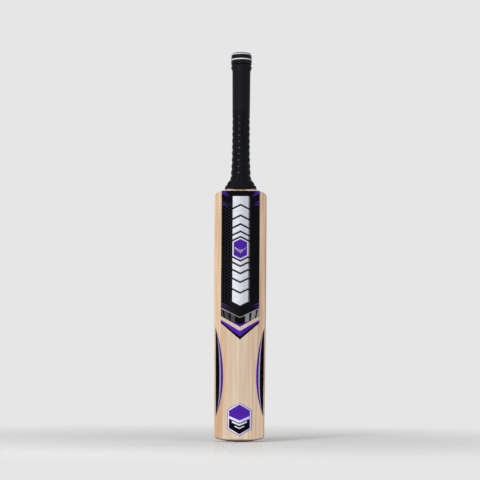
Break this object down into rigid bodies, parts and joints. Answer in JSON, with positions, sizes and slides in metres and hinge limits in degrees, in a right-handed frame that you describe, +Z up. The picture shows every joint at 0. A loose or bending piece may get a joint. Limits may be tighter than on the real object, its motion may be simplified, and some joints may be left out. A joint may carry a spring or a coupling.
{
  "type": "cricket bat",
  "caption": "Cricket bat with a ridged willow blade, a spliced laminated cane handle, a ribbed black rubber grip and black and purple film labels on the face.",
  "frame": {"origin": "on the toe's level, under the middle of the bat's box", "axes": "+Z up the bat from the toe to the end of the handle, -Y out of the striking face, +X to the right seen from the face"},
  "size_m": [0.108, 0.0642, 0.819],
  "materials": {
    "willow": "straight-grained pale willow, lightly oiled",
    "cane": "bare split cane",
    "spring_rubber": "dark sheet rubber",
    "twine": "waxed wound thread",
    "black_rubber": "matte moulded rubber with fine texture",
    "white_rubber": "smooth white rubber",
    "black_film": "satin printed film",
    "purple_film": "satin printed film"
  },
  "bodies": {
    "root": {"blade": "willow", "cane_strip_front_left": "cane", "cane_strip_front_middle": "cane", "cane_strip_front_right": "cane", "cane_strip_mid_front_left": "cane", "cane_strip_mid_front_middle": "cane", "cane_strip_mid_front_right": "cane", "cane_strip_mid_back_left": "cane", "cane_strip_mid_back_middle": "cane", "cane_strip_mid_back_right": "cane", "cane_strip_back_left": "cane", "cane_strip_back_middle": "cane", "cane_strip_back_right": "cane", "rubber_spring_front": "spring_rubber", "rubber_spring_middle": "spring_rubber", "rubber_spring_back": "spring_rubber", "twine_binding": "twine", "grip_sleeve": "black_rubber", "grip_collar": "black_rubber", "white_ring_upper": "white_rubber", "white_ring_lower": "white_rubber", "face_label_panel": "black_film", "face_label_band": "black_film", "face_label_chevron": "purple_film", "edge_label_left": "black_film", "edge_label_right": "black_film", "toe_label": "purple_film"}
  },
  "joints": []
}
